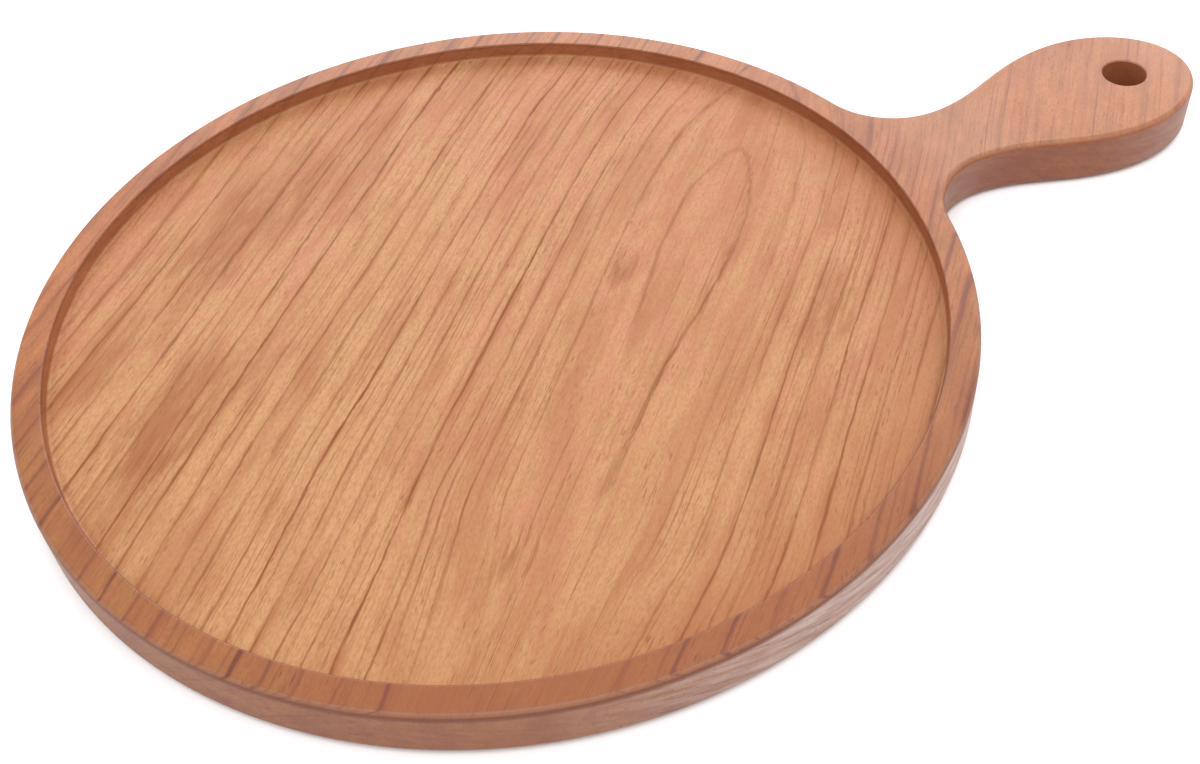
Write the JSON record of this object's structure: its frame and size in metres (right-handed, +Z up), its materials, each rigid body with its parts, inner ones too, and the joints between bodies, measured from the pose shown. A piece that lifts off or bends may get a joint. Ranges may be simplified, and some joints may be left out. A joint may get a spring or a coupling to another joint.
{
  "type": "round serving board with handle",
  "caption": "Round wooden serving board with a shallow routed tray, a flat-topped rim and a bulb-ended handle pierced by a hanging hole.",
  "frame": {"origin": "On the underside, below the middle of the round", "axes": "+X runs along the handle from the middle of the round to its tip, +Z points up out of the tray, and the underside lies in the plane Z = 0"},
  "size_m": [0.4175, 0.3, 0.018],
  "materials": {
    "oiled_wood": "sanded and oiled reddish-brown hardwood with a satin sheen, straight grain at the sides and an arched figure in the middle"
  },
  "bodies": {
    "root": {"rear_stave": "oiled_wood", "centre_stave": "oiled_wood", "handle_stave": "oiled_wood"}
  },
  "joints": []
}
